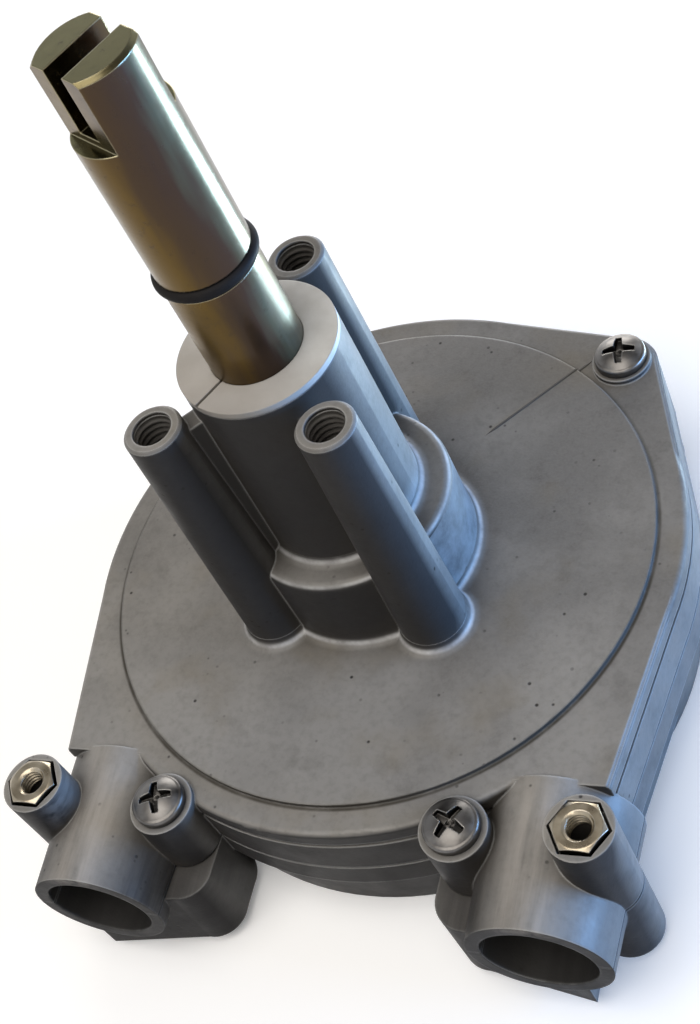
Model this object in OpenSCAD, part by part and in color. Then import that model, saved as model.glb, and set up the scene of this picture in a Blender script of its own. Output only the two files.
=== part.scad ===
// Boat steering helm with a planetary gear set and a cable drum.
// Millimetres. The rear face lies at z = 0, the shaft points up along +Z, the cable outlets point to -Y.

/* [Case] */
// Thickness of the side wall of both castings
wall_t = 5; // [4:0.5:7]
// Thickness of the rear housing's floor
floor_t = 4; // [3:0.5:6]
// Thickness of the cover's front plate over the shaft
plate_t = 4.5; // [3.5:0.5:6]
// Radial room from the cable's centre line to the side wall
guide_w = 14.8; // [13:0.2:17]
// Height of the round plateau above the cover's face
plateau_h = 1; // [0.5:0.1:2]
// Distance from the plateau's edge to the edge of the case
plateau_margin = 6.6; // [5:0.2:9]
// Depth of the groove around the cover's rim
groove_d = 0.8; // [0.4:0.1:1.2]
// Width of the groove around the cover's rim
groove_w = 1.2; // [0.8:0.1:2]
// Distance from the cover's face to the groove
groove_drop = 4; // [3:0.5:6]
// Rounding of the cover's front edge
edge_r = 1.2; // [0.6:0.1:2]
// Angle at which the flanks close in towards the outlets
flank_angle = 8.2; // [6:0.2:10]
// Height of the flange band of the rear housing
band_h = 7; // [5:0.5:9]
// Step from the flange band in to the pot of the rear housing
band_step = 1.5; // [0.5:0.25:2.5]
// Inward draft of the pot over its height
pot_draft = 2.5; // [1:0.25:3.5]
// Thickness of the gasket between the castings
gasket_t = 0.6; // [0.4:0.1:1]

/* [Hub] */
// Height of the metal hub above the plateau
hub_h = 70.4; // [60:0.2:80]
// Radius of the hub at its foot
hub_base_r = 17.9; // [17:0.1:20]
// Radius of the hub at its top
hub_top_r = 17.2; // [16.5:0.1:19]
// Radius of the collar around the hub's foot
collar_r = 24.4; // [22:0.2:27]
// Height of the collar above the plateau
collar_h = 21.5; // [14:0.5:28]
// Rounding of the collar's upper edge
collar_round = 1.8; // [0.6:0.2:2.4]
// Fillet at the foot of the hub, collar and columns
fillet_r = 2.4; // [1:0.2:3]

/* [Mounting columns] */
// Distance of the columns from the shaft's axis
column_pitch_r = 26.2; // [25:0.1:29]
// Angle of the two lower columns from straight down
column_spread = 46; // [40:1:60]
// Height of the columns above the plateau
column_h = 69.2; // [58:0.2:78]
// Radius of a column at its foot
column_base_r = 7.8; // [7:0.1:9]
// Radius of a column at its top
column_top_r = 6.3; // [6:0.1:7]
// Radius of the tapped bore in a column
column_bore_r = 4.25; // [3.4:0.05:4.6]
// Depth of the tapped bores in the two lower columns
column_bore_depth = 40; // [25:1:55]
// How much deeper the upper column is bored
upper_bore_extra = 1; // [0.5:0.5:3]
// Thickness of the web from a column to the hub
column_web_t = 4.6; // [3:0.2:6]
// How far the webs stop below the tops of the hub and the columns
column_web_drop = 4; // [2:0.5:10]

/* [Shaft] */
// Radius of the steering shaft
shaft_r = 10; // [9:0.25:11]
// Height of the shaft's tip above the plateau
shaft_tip_h = 147.5; // [135:0.5:160]
// Length of the flattened end
tang_len = 15.5; // [12:0.5:18]
// Width across the flats of the end
tang_flat = 14; // [11:0.25:17]
// Width of the slot across the end
slot_w = 5.6; // [4.5:0.1:7]
// Depth of the slot
slot_depth = 14; // [8:0.5:16]
// Direction of the slot around the shaft
slot_angle = 60; // [0:1:180]
// Chamfer at the tip
tip_chamfer = 0.8; // [0.4:0.1:1.2]
// Height of the sealing ring above the plateau
ring_seal_h = 97; // [85:0.5:115]
// Cord radius of the sealing ring
ring_seal_r = 1.3; // [0.9:0.1:1.6]
// How far the sealing ring stands out of the shaft
ring_seal_proud = 0.9; // [0.4:0.1:1.2]
// Radial height of the shaft's thrust collar
thrust_w = 4; // [3:0.25:4.5]
// Thickness of the shaft's thrust collar
thrust_t = 3.4; // [2:0.2:5]
// Radius of the flatted seat of the pinion
seat_r = 4.6; // [4:0.1:5]
// Distance from the axis to the flat of the pinion's seat
seat_flat = 3.7; // [3.2:0.1:4.2]
// How much thinner the lower pilot is than the pinion's seat
pilot_step = 0.1; // [0.05:0.05:0.4]

/* [Bushes and washers] */
// Wall of the two shaft bushes
bush_wall = 2.5; // [2:0.25:3]
// Length of each shaft bush in the hub
bush_len = 20; // [14:1:28]
// Thickness of the upper bush's flange
bush_flange_t = 1.4; // [1:0.1:2]
// Width of the slit in the upper bush
bush_slit_w = 0.7; // [0.4:0.1:1.2]
// Direction of the slit around the shaft
bush_slit_angle = 240; // [0:1:360]
// Wall of the pilot bush in the drum
pilot_bush_wall = 2; // [1.5:0.25:3]
// Wall of the drum's bush in the rear housing
drum_bush_wall = 2.5; // [2:0.25:3.5]
// Thickness of the thrust washers
washer_t = 1.5; // [1:0.1:2.5]

/* [Gears] */
// Tooth module of the gear set
gear_module = 1.25; // [1.2:0.01:1.35]
// Teeth of the pinion on the shaft
sun_teeth = 12; // [12:3:15]
// Teeth of each planet
planet_teeth = 24; // [21:3:24]
// Face width of the gears
gear_w = 10; // [8:0.5:13]
// Thinning of each tooth for backlash
backlash = 0.12; // [0.08:0.02:0.2]
// Wall of the ring gear behind its teeth
ring_wall = 3; // [2.5:0.25:4]
// Thickness of the ring gear's flange
ring_flange_t = 3; // [2:0.25:3.5]
// Radial width of the ring gear's flange
ring_flange_w = 8; // [6:0.5:9]
// Radius of a planet pin
pin_r = 4; // [3.2:0.1:5]
// Radius of a pin's front end in the carrier plate
pin_end_r = 3; // [2.4:0.1:3.1]
// Thickness of the carrier plate
carrier_t = 1.8; // [1.2:0.2:3]

/* [Drum] */
// Radius of the wound cable core
cable_r = 4.75; // [4.25:0.25:5.25]
// Teeth around the drum
drum_teeth = 40; // [36:1:44]
// Depth of the drum's teeth
drum_tooth_h = 2; // [1.5:0.1:2.5]
// How far the drum's teeth reach into the cable's winding
drum_bite = 1.2; // [0.8:0.1:1.6]
// Wall of the drum's rim below its teeth
rim_wall = 2.6; // [2:0.1:4]
// Thickness of the drum's web
web_t = 4.4; // [3.5:0.1:6]
// Radius of the drum's journal
journal_r = 13; // [11:0.25:14]
// Height of the journal's boss in the rear housing
boss_h = 8.5; // [6:0.5:11]
// Wall of the journal's boss
boss_wall = 4; // [3:0.5:5]

/* [Cable outlets] */
// Bore radius of an outlet
outlet_bore_r = 12; // [10:0.25:12.5]
// Depth of the outlet's bore for the cable's end fitting
ferrule_depth = 28.5; // [26:0.5:32]
// Outer radius of an outlet at its root
outlet_root_r = 16.2; // [15.4:0.1:17]
// Outer radius of an outlet at its mouth
outlet_mouth_r = 15; // [14:0.1:16]
// Distance from the shaft's axis to the root of an outlet
outlet_root_y = 53.4; // [48:0.2:58]
// Distance from the shaft's axis to the mouth of an outlet
outlet_mouth_y = 85.5; // [82:0.5:95]
// How far the block behind an outlet reaches past the outlet's axis
block_side = 6.8; // [4:0.2:9]
// Distance from the mouth back to the block's outer corner
block_set = 0.4; // [0.2:0.1:2]
// Further distance back to the block's corner beside the screw
block_slant = 3.8; // [2:0.2:6]
// Rounding of the block's corner beside the screw
block_r = 7; // [5:0.2:8]
// Distance from an outlet's axis to its lock bolt
lock_offset = 11.1; // [10:0.1:12.5]
// Distance from the shaft's axis to the lock bolts
lock_y = 67.9; // [64:0.1:74]
// Radius of the boss around a lock bolt
lock_boss_r = 7.1; // [6.8:0.1:8.5]
// Radius of the lock bolt's hole
lock_hole_r = 3.2; // [3.1:0.05:3.4]
// Height of a lock nut's seat above the cover's face
nut_seat_h = 5.3; // [3:0.1:7]
// Width of a lock nut across its flats
nut_flats = 10; // [9:0.1:10.4]
// Height of a lock nut
nut_h = 5; // [4:0.1:6]
// Thread core radius of a lock nut
nut_core_r = 2.46; // [2.1:0.02:2.6]
// Depth of the hex pocket around a lock nut
pocket_depth = 4; // [2:0.25:4.75]

/* [Screws] */
// Radius of the screws that hold the cover
screw_r = 3; // [2.5:0.1:3.2]
// Radius of a screw's pan head
screw_head_r = 6; // [5:0.1:6.4]
// Height of a screw's pan head
screw_head_h = 4; // [3:0.1:4.6]
// Length of a screw below its head
screw_len = 28; // [24:1:34]
// Height of the screw pads above the cover's face
pad_h = 1.3; // [0.5:0.1:2]
// Radius of the upper screw lugs
lug_r = 8; // [7.4:0.1:9]
// Radius of the lower screw bosses
low_boss_r = 7.3; // [6.8:0.1:8]
// Angle of the upper screws from straight right
upper_screw_angle = 48; // [44:1:54]
// Distance of the upper screws outside the case's edge
upper_screw_out = 1.8; // [1:0.1:3]
// Angle of the lower screws from straight right
lower_screw_angle = -63.2; // [-66:0.2:-61]
// Distance of the lower screws outside the case's edge
lower_screw_out = 4.1; // [3.5:0.1:5]

/* [Clearances] */
// Radial running clearance of a shaft in its bush
running_gap = 0.05; // [0.02:0.01:0.08]
// Clearance between fixed round faces
fit_gap = 0.02; // [0.01:0.01:0.05]
// Axial running clearance at a thrust washer
axial_gap = 0.1; // [0.05:0.05:0.2]
// Gap between faces that pass each other
face_gap = 0.5; // [0.3:0.1:1]
// Gap between the drum's rim and the ring gear
rim_gap = 0.8; // [0.5:0.1:1.5]
// Clearance of a screw or bolt in its hole
screw_gap = 0.3; // [0.2:0.05:0.5]
// Clearance of a nut in its pocket, across the flats on each side
nut_gap = 0.6; // [0.3:0.05:0.8]
// Clearance of the cable in its guide
cable_gap = 0.6; // [0.4:0.1:1]
// Clearance of the cable in the channels to its outlets
channel_gap = 2.1; // [1.5:0.1:3]

/* [Hidden] */
$fn = 96;
bite = 1;
tangent_in = 0.06;
arc_steps = 3;
planet_count = 3;
addendum = 0.8;
dedendum = 1;
pressure_angle = 20;
key_w = 8;
key_h = 2.5;
key_count = 3;
recess_len = 6.4;
recess_w = 1.3;
recess_depth = 2.2;
flank_run = 1;
guide_half_h = 7.2;
guide_inset = 1.2;
guide_start = -7;
channel_y = 30;
ledge_in = 4;
boss_foot = 3;
tap_depth = 17;
washer_land = 3.5;
journal_foot = 0.8;
pilot_lift = 1;
carrier_margin = 2.4;
column_chamfer = 0.6;
head_dome = 9;

// Heights, built up from the rear face
z_floor = floor_t;
z_boss = z_floor + boss_h;
z_pilot = z_floor + journal_foot + pilot_lift;
z_web = z_boss + washer_t + axial_gap;
z_web_top = z_web + web_t;
z_gear = z_web_top + face_gap;
z_gear_top = z_gear + gear_w;
z_cable = z_gear + gear_w / 2;
z_carrier = z_gear_top + face_gap;
z_thrust = z_gear_top + face_gap;
z_thrust_top = z_thrust + thrust_t;
z_ceiling = z_thrust_top + axial_gap + washer_t;
z_face = z_ceiling + plate_t;
z_plateau = z_face + plateau_h;
z_joint_rear = z_cable - gasket_t / 2;
z_joint_front = z_cable + gasket_t / 2;
z_guide = z_cable - guide_half_h;
z_guide_top = z_cable + guide_half_h;
z_ring_flange = z_ceiling - ring_flange_t;
z_rim_top = z_ring_flange - rim_gap;
z_hub_top = z_plateau + hub_h;
z_column_top = z_plateau + column_h;
z_tip = z_plateau + shaft_tip_h;
z_seat = z_face + pad_h;
z_nut = z_face + nut_seat_h;
z_groove = z_face - groove_drop - groove_w;
z_band = z_joint_rear - band_h;

// Radii, built up from the gears outwards
ring_teeth = sun_teeth + 2 * planet_teeth;
planet_orbit = gear_module * (sun_teeth + planet_teeth) / 2;
ring_root_r = gear_module * (ring_teeth / 2 + dedendum);
ring_outer_r = ring_root_r + ring_wall;
ring_flange_r = ring_outer_r + ring_flange_w;
rim_in_r = ring_outer_r + rim_gap;
drum_root_r = rim_in_r + rim_wall;
drum_tip_r = drum_root_r + drum_tooth_h;
cable_x = drum_tip_r - drum_bite + cable_r;
cavity_r = cable_x + guide_w;
case_r = cavity_r + wall_t;
ledge_r = cable_x + ledge_in;
plateau_r = case_r - plateau_margin;
hub_bore_r = shaft_r + running_gap + bush_wall;
thrust_r = shaft_r + thrust_w;
washer_r = hub_bore_r + washer_land;
pilot_r = seat_r - pilot_step;
pilot_bush_r = pilot_r + running_gap + pilot_bush_wall;
drum_bush_r = journal_r + running_gap + drum_bush_wall;
boss_r = drum_bush_r + boss_wall;
carrier_in_r = thrust_r + face_gap;
carrier_r = planet_orbit + pin_end_r + carrier_margin;
seal_groove_r = shaft_r + ring_seal_proud - 2 * ring_seal_r;
lock_x = cable_x + lock_offset;
flank_end_y = outlet_root_y + flank_run;
ferrule_y = outlet_mouth_y - ferrule_depth;
channel_r = cable_r + channel_gap;
column_angles = [90, 270 - column_spread, 270 + column_spread];
column_xy = [for (a = column_angles) polar(column_pitch_r, a)];
upper_screw = polar(case_r + upper_screw_out, upper_screw_angle);
lower_screw = polar(case_r + lower_screw_out, lower_screw_angle);
screw_xy = [for (p = [upper_screw, lower_screw], s = [1, -1]) [s * p.x, p.y]];
planet_step = 360 / (sun_teeth + ring_teeth);
planet_angles = [for (k = [0 : planet_count - 1])
    planet_step * round(k * (sun_teeth + ring_teeth) / planet_count) + 90];

// Points and shapes that repeat

function polar(r, a) = [r * cos(a), r * sin(a)];

// Involute angle, in degrees, of the flank at radius r on base circle rb
function involute(rb, r) = tan(acos(min(1, rb / r))) * 180 / PI - acos(min(1, rb / r));

// Half the angle that a tooth spans at radius r: n teeth on pitch radius rp, with extra tooth width
function tooth_half(n, rp, extra, r) =
    90 / n + extra * 90 / (PI * rp)
    + involute(rp * cos(pressure_angle), rp) - involute(rp * cos(pressure_angle), r);

// Outline of an involute gear with one tooth on +X
function gear_points(n, out_r, in_r, extra) =
    let (
        rp = n * gear_module / 2,
        start_r = max(in_r, rp * cos(pressure_angle)),
        radii = [for (k = [0 : arc_steps]) start_r + (out_r - start_r) * k / arc_steps],
        right = [for (r = radii) [r, -tooth_half(n, rp, extra, r)]],
        left = [for (k = [arc_steps : -1 : 0]) [radii[k], tooth_half(n, rp, extra, radii[k])]],
        foot = tooth_half(n, rp, extra, start_r),
        tooth = in_r < start_r ? concat([[in_r, -foot]], right, left, [[in_r, foot]]) : concat(right, left)
    )
    [for (t = [0 : n - 1], q = tooth) polar(q[0], q[1] + 360 * t / n)];

module gear_outline(n) {
    rp = n * gear_module / 2;
    polygon(gear_points(n, rp + addendum * gear_module, rp - dedendum * gear_module, -backlash));
}

module tube(r_out, r_in, h) {
    difference() {
        cylinder(r = r_out, h = h);
        translate([0, 0, -bite]) cylinder(r = r_in, h = h + 2 * bite);
    }
}

// Concave fillet around a post of radius r that stands on z = 0
module foot_fillet(r) {
    rotate_extrude() difference() {
        translate([r - bite, -bite / 2]) square([fillet_r + bite, fillet_r + bite / 2]);
        translate([r + fillet_r, fillet_r]) circle(r = fillet_r);
    }
}

module both_sides() {
    children();
    mirror([1, 0, 0]) children();
}

// Corner points of the area between the round case and a screw lug, on one side of the lug's centre line,
// set just inside the outer tangent of the two
function lug_side(inset, side) =
    let (turn = upper_screw_angle + side * acos((case_r - lug_r) / norm(upper_screw)))
    [polar(case_r - inset - tangent_in, turn), upper_screw + polar(lug_r - inset - tangent_in, turn)];

// Everything outside the round case: flanks down to the outlets, and the upper screw lugs
module case_sides(z0, z1, inset) {
    flank_r = case_r - inset - tangent_in;
    flank_x = (flank_r - flank_end_y * sin(flank_angle)) / cos(flank_angle);
    left = lug_side(inset, 1);
    right = lug_side(inset, -1);
    both_sides() translate([0, 0, z0]) {
        linear_extrude(z1 - z0) polygon([
            [0, 0], polar(flank_r, -flank_angle), [flank_x, -flank_end_y], [lower_screw.x, -flank_end_y]
        ]);
        linear_extrude(z1 - z0) polygon([[0, 0], left[0], left[1], right[1], right[0]]);
        translate([upper_screw.x, upper_screw.y, 0]) cylinder(r = lug_r - inset, h = z1 - z0);
    }
}

// Outer form of one cable outlet, a cone along -Y at the joint plane
module outlet_form() {
    translate([cable_x, -outlet_root_y, z_cable]) rotate([90, 0, 0])
        cylinder(r1 = outlet_root_r, r2 = outlet_mouth_r, h = outlet_mouth_y - outlet_root_y);
}

// Block of the rear housing that joins an outlet to the lower screw's boss
module outlet_block(z0, z1) {
    in_x = lower_screw.x - low_boss_r;
    front_y = outlet_mouth_y - block_set;
    corner = [in_x + block_r, -(front_y - block_slant - block_r)];
    translate([0, 0, z0]) linear_extrude(z1 - z0) polygon([
        [in_x + tangent_in, lower_screw.y], [in_x + tangent_in, corner.y],
        [corner.x, corner.y - block_r + tangent_in], [cable_x + block_side, -front_y],
        [cable_x + block_side, -outlet_root_y], [lower_screw.x, -outlet_root_y]
    ]);
    translate([corner.x, corner.y, z0]) cylinder(r = block_r, h = z1 - z0);
}

// Bore for the cable's end fitting, and the narrower channel in to the drum
module outlet_bore() {
    translate([cable_x, -ferrule_y, z_cable]) rotate([90, 0, 0])
        cylinder(r = outlet_bore_r, h = ferrule_depth + bite);
    translate([cable_x, -channel_y, z_cable]) rotate([90, 0, 0])
        cylinder(r = channel_r, h = ferrule_y - channel_y + bite);
}

module screw_holes(r, z0, z1) {
    for (p = screw_xy) translate([p.x, p.y, z0]) cylinder(r = r, h = z1 - z0, $fn = 48);
}

// Keeps only what lies between two heights
module slab(z0, z1) {
    reach = 4 * case_r;
    intersection() {
        children();
        translate([-reach / 2, -reach / 2, z0]) cube([reach, reach, z1 - z0]);
    }
}

// Sub-parts

// Disc of the cover with its rounded front edge and rim groove, turned about the shaft's axis
module cover_disc() {
    rotate_extrude() difference() {
        union() {
            translate([0, z_joint_front]) square([case_r, z_face - edge_r - z_joint_front]);
            translate([0, z_joint_front]) square([case_r - edge_r, z_face - z_joint_front]);
            translate([case_r - edge_r, z_face - edge_r]) circle(r = edge_r, $fn = 32);
        }
        translate([case_r - groove_d, z_groove]) square([2 * groove_d, groove_w]);
    }
}

// The flanks and lugs repeat the disc's edge in steps
module cover_sides() {
    steps = [
        [z_joint_front, z_groove, 0], [z_groove, z_groove + groove_w, groove_d],
        [z_groove + groove_w, z_face - edge_r, 0], [z_face - edge_r, z_face - 0.4 * edge_r, 0.2 * edge_r],
        [z_face - 0.4 * edge_r, z_face, 0.6 * edge_r]
    ];
    for (s = steps) case_sides(s[0], s[1], s[2]);
}

module cover_hub() {
    translate([0, 0, z_face]) cylinder(r1 = hub_base_r, r2 = hub_top_r, h = z_hub_top - z_face);
    // collar with a rounded upper edge
    rotate_extrude() union() {
        translate([0, z_face]) square([collar_r, plateau_h + collar_h - collar_round]);
        translate([0, z_face]) square([collar_r - collar_round, plateau_h + collar_h]);
        translate([collar_r - collar_round, z_plateau + collar_h - collar_round])
            circle(r = collar_round, $fn = 32);
    }
    translate([0, 0, z_plateau]) foot_fillet(collar_r);
    translate([0, 0, z_plateau + collar_h]) foot_fillet(hub_base_r - (hub_base_r - hub_top_r) / 2);
}

module cover_columns() {
    // the webs stop below the lower of the hub and the columns
    web_top = min(z_hub_top, z_column_top) - column_web_drop;
    for (k = [0 : 2]) {
        translate([column_xy[k].x, column_xy[k].y, z_face]) {
            cylinder(r1 = column_base_r, r2 = column_top_r, h = z_column_top - column_chamfer - z_face);
            translate([0, 0, z_column_top - column_chamfer - z_face])
                cylinder(r1 = column_top_r, r2 = column_top_r - column_chamfer, h = column_chamfer);
            translate([0, 0, plateau_h]) foot_fillet(column_base_r);
        }
        // web back to the hub
        rotate([0, 0, column_angles[k]]) translate([0, -column_web_t / 2, z_face])
            cube([column_pitch_r, column_web_t, web_top - z_face]);
    }
}

module cover_outlets() {
    both_sides() {
        outlet_form();
        translate([lock_x, -lock_y, z_cable - bite])
            cylinder(r = lock_boss_r, h = z_nut + pocket_depth - z_cable + bite);
    }
    for (p = screw_xy) translate([p.x, p.y, z_cable - bite])
        cylinder(r = (p.y > 0 ? lug_r - edge_r : low_boss_r), h = z_seat - z_cable + bite);
}

module front_cover() {
    color([0.60, 0.59, 0.57]) difference() {
        union() {
            cover_disc();
            cover_sides();
            translate([0, 0, z_face - bite]) cylinder(r = plateau_r, h = plateau_h + bite);
            cover_hub();
            cover_columns();
            slab(z_joint_front, z_column_top) cover_outlets();
        }
        // room for the drum, the guide and the ring gear's flange
        translate([0, 0, z_joint_front - bite]) cylinder(r = cavity_r, h = z_guide_top - z_joint_front + bite);
        translate([0, 0, z_joint_front]) cylinder(r = ring_flange_r + fit_gap, h = z_ceiling - z_joint_front);
        for (k = [0 : key_count - 1]) rotate([0, 0, 360 * k / key_count])
            translate([ring_flange_r - bite, -key_w / 2 - fit_gap, z_joint_front])
                cube([key_h + bite + fit_gap, key_w + 2 * fit_gap, z_ceiling - z_joint_front]);
        // bores
        translate([0, 0, z_ceiling - bite]) cylinder(r = hub_bore_r, h = z_hub_top - z_ceiling + 2 * bite);
        for (p = column_xy) {
            bore_depth = column_bore_depth + (p.y > 0 ? upper_bore_extra : 0);
            translate([p.x, p.y, z_column_top - bore_depth]) cylinder(r = column_bore_r, h = bore_depth + bite);
        }
        screw_holes(screw_r + screw_gap, z_joint_front - bite, z_seat + bite);
        both_sides() {
            outlet_bore();
            translate([lock_x, -lock_y, z_joint_front - bite])
                cylinder(r = lock_hole_r, h = z_nut + bite);
            translate([lock_x, -lock_y, z_nut])
                cylinder(r = (nut_flats / 2 + nut_gap) / cos(30), h = pocket_depth + bite, $fn = 6);
        }
    }
}

module rear_housing() {
    pot_top_r = case_r - band_step;
    color([0.52, 0.52, 0.52]) {
        difference() {
            union() {
                translate([0, 0, z_band]) cylinder(r = case_r, h = z_joint_rear - z_band);
                case_sides(z_band, z_joint_rear, 0);
                cylinder(r1 = pot_top_r - pot_draft, r2 = pot_top_r, h = z_band);
                case_sides(boss_foot, z_band + bite, band_step + pot_draft);
                slab(boss_foot, z_joint_rear) both_sides() {
                    outlet_form();
                    outlet_block(0, z_cable + bite);
                    translate([lock_x, -lock_y, 0]) cylinder(r = lock_boss_r, h = z_cable + bite);
                    for (p = [upper_screw, lower_screw]) translate([p.x, p.y, 0])
                        cylinder(r = low_boss_r, h = z_cable + bite);
                }
            }
            translate([0, 0, z_floor]) cylinder(r = ledge_r, h = z_joint_rear);
            translate([0, 0, z_guide]) cylinder(r = cavity_r, h = z_joint_rear);
            screw_holes(screw_r + running_gap, z_joint_rear - tap_depth, z_joint_rear + bite);
            both_sides() {
                outlet_bore();
                translate([lock_x, -lock_y, -bite]) cylinder(r = lock_hole_r, h = z_cable + 2 * bite);
            }
        }
        // boss for the drum's journal
        translate([0, 0, z_floor - bite]) tube(boss_r, drum_bush_r + fit_gap, boss_h + bite);
    }
}

module joint_gasket() {
    inset = 0.6;
    color([0.20, 0.20, 0.19]) difference() {
        slab(z_joint_rear, z_joint_front) {
            translate([0, 0, z_joint_rear]) cylinder(r = case_r - inset, h = gasket_t);
            case_sides(z_joint_rear, z_joint_front, inset);
            both_sides() {
                outlet_form();
                translate([lock_x, -lock_y, z_joint_rear]) cylinder(r = lock_boss_r - inset, h = gasket_t);
                translate([lower_screw.x, lower_screw.y, z_joint_rear])
                    cylinder(r = low_boss_r - inset, h = gasket_t);
            }
        }
        translate([0, 0, z_joint_rear - bite]) cylinder(r = cavity_r, h = gasket_t + 2 * bite);
        screw_holes(screw_r + screw_gap, z_joint_rear - bite, z_joint_front + bite);
        both_sides() {
            outlet_bore();
            translate([lock_x, -lock_y, z_joint_rear - bite]) cylinder(r = lock_hole_r, h = gasket_t + 2 * bite);
        }
    }
}

module hub_bush() {
    color([0.80, 0.79, 0.76]) difference() {
        union() {
            translate([0, 0, z_hub_top]) cylinder(r = hub_top_r, h = bush_flange_t);
            translate([0, 0, z_hub_top - bush_len])
                cylinder(r = hub_bore_r - fit_gap, h = bush_len + bush_flange_t);
        }
        translate([0, 0, z_hub_top - bush_len - bite])
            cylinder(r = shaft_r + running_gap, h = bush_len + bush_flange_t + 2 * bite);
        rotate([0, 0, bush_slit_angle]) translate([0, -bush_slit_w / 2, z_hub_top - bush_len - bite])
            cube([2 * hub_top_r, bush_slit_w, bush_len + bush_flange_t + 2 * bite]);
    }
}

module lower_bush() {
    color([0.80, 0.79, 0.76]) translate([0, 0, z_ceiling])
        tube(hub_bore_r - fit_gap, shaft_r + running_gap, bush_len);
}

module upper_washer() {
    color([0.75, 0.60, 0.35]) translate([0, 0, z_ceiling - washer_t])
        tube(washer_r, shaft_r + face_gap, washer_t);
}

// Round pinion seat with one flat
module seat_plan(gap) {
    intersection() {
        circle(r = seat_r + gap);
        translate([-2 * seat_r, -2 * seat_r]) square([2 * seat_r + seat_flat + gap, 4 * seat_r]);
    }
}

module steering_shaft() {
    seal_w = 2 * ring_seal_r + face_gap;
    z_seal = z_plateau + ring_seal_h;
    color([0.66, 0.56, 0.30]) difference() {
        union() {
            translate([0, 0, z_pilot]) cylinder(r = pilot_r, h = z_gear - z_pilot);
            translate([0, 0, z_gear]) linear_extrude(z_thrust - z_gear + bite) seat_plan(0);
            translate([0, 0, z_thrust]) cylinder(r = thrust_r, h = thrust_t);
            translate([0, 0, z_thrust]) cylinder(r = shaft_r, h = z_tip - tip_chamfer - z_thrust);
            translate([0, 0, z_tip - tip_chamfer])
                cylinder(r1 = shaft_r, r2 = shaft_r - tip_chamfer, h = tip_chamfer);
        }
        translate([0, 0, z_seal - seal_w / 2]) tube(shaft_r + bite, seal_groove_r, seal_w);
        rotate([0, 0, slot_angle]) {
            // slot through the end
            translate([-2 * shaft_r, -slot_w / 2, z_tip - slot_depth])
                cube([4 * shaft_r, slot_w, slot_depth + bite]);
            // flats at both ends of the slot
            for (s = [-1, 1]) translate([s * (tang_flat / 2 + shaft_r) - shaft_r, -2 * shaft_r, z_tip - tang_len])
                cube([2 * shaft_r, 4 * shaft_r, tang_len + bite]);
        }
    }
}

module shaft_o_ring() {
    color([0.07, 0.07, 0.08]) translate([0, 0, z_plateau + ring_seal_h]) rotate_extrude()
        translate([seal_groove_r + fit_gap + ring_seal_r, 0]) circle(r = ring_seal_r, $fn = 32);
}

module sun_gear() {
    color([0.55, 0.55, 0.57]) translate([0, 0, z_gear]) linear_extrude(z_thrust - z_gear) difference() {
        gear_outline(sun_teeth);
        seat_plan(fit_gap);
    }
}

// A planet is turned so that its teeth mesh with a pinion that has a tooth on +X
module planet_gear(k) {
    a = planet_angles[k];
    turn = a * (1 + sun_teeth / planet_teeth) + 180 - 180 / planet_teeth;
    color([0.62, 0.62, 0.60]) rotate([0, 0, a]) translate([planet_orbit, 0, z_gear])
        rotate([0, 0, turn - a]) linear_extrude(gear_w) difference() {
            gear_outline(planet_teeth);
            circle(r = pin_r + running_gap);
        }
}

module ring_gear() {
    rp = ring_teeth * gear_module / 2;
    // the first planet stands a quarter turn round, which shifts the meshing tooth of the ring
    turn = planet_angles[0] * (1 + sun_teeth / ring_teeth) + (planet_teeth + 1) * 180 / ring_teeth;
    color([0.50, 0.50, 0.52]) difference() {
        union() {
            translate([0, 0, z_gear]) cylinder(r = ring_outer_r, h = z_ceiling - z_gear);
            translate([0, 0, z_ring_flange]) cylinder(r = ring_flange_r, h = ring_flange_t);
            for (k = [0 : key_count - 1]) rotate([0, 0, 360 * k / key_count])
                translate([ring_flange_r - key_h, -key_w / 2, z_ring_flange])
                    cube([2 * key_h, key_w, ring_flange_t]);
        }
        translate([0, 0, z_gear - bite]) rotate([0, 0, turn]) linear_extrude(gear_w + 2 * bite)
            polygon(gear_points(ring_teeth, ring_root_r, rp - addendum * gear_module, backlash));
        translate([0, 0, z_gear_top]) cylinder(r = ring_root_r + face_gap, h = z_ceiling - z_gear_top + bite);
    }
}

module cable_drum() {
    scallop_r = PI * drum_tip_r / drum_teeth / 2;
    color([0.70, 0.69, 0.66]) difference() {
        union() {
            translate([0, 0, z_web]) cylinder(r = drum_tip_r, h = web_t);
            translate([0, 0, z_web]) tube(drum_tip_r, rim_in_r, z_rim_top - z_web);
            translate([0, 0, z_floor + journal_foot]) cylinder(r = journal_r, h = z_web_top - z_floor - journal_foot);
        }
        translate([0, 0, z_floor]) cylinder(r = pilot_bush_r + fit_gap, h = z_web_top);
        for (a = planet_angles) rotate([0, 0, a]) translate([planet_orbit, 0, z_web - bite])
            cylinder(r = pin_r + fit_gap, h = web_t + 2 * bite);
        // tooth gaps that take the turns of the cable's winding
        for (k = [0 : drum_teeth - 1]) rotate([0, 0, 360 * k / drum_teeth])
            translate([drum_root_r + scallop_r, 0, z_web - bite])
                cylinder(r = scallop_r, h = z_rim_top - z_web + 2 * bite, $fn = 24);
    }
}

module planet_pins() {
    color([0.72, 0.72, 0.74]) for (a = planet_angles) rotate([0, 0, a]) translate([planet_orbit, 0, 0]) {
        translate([0, 0, z_web + axial_gap]) cylinder(r = pin_r, h = z_carrier - z_web - axial_gap);
        translate([0, 0, z_carrier - bite]) cylinder(r = pin_end_r, h = carrier_t + bite);
    }
}

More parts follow.
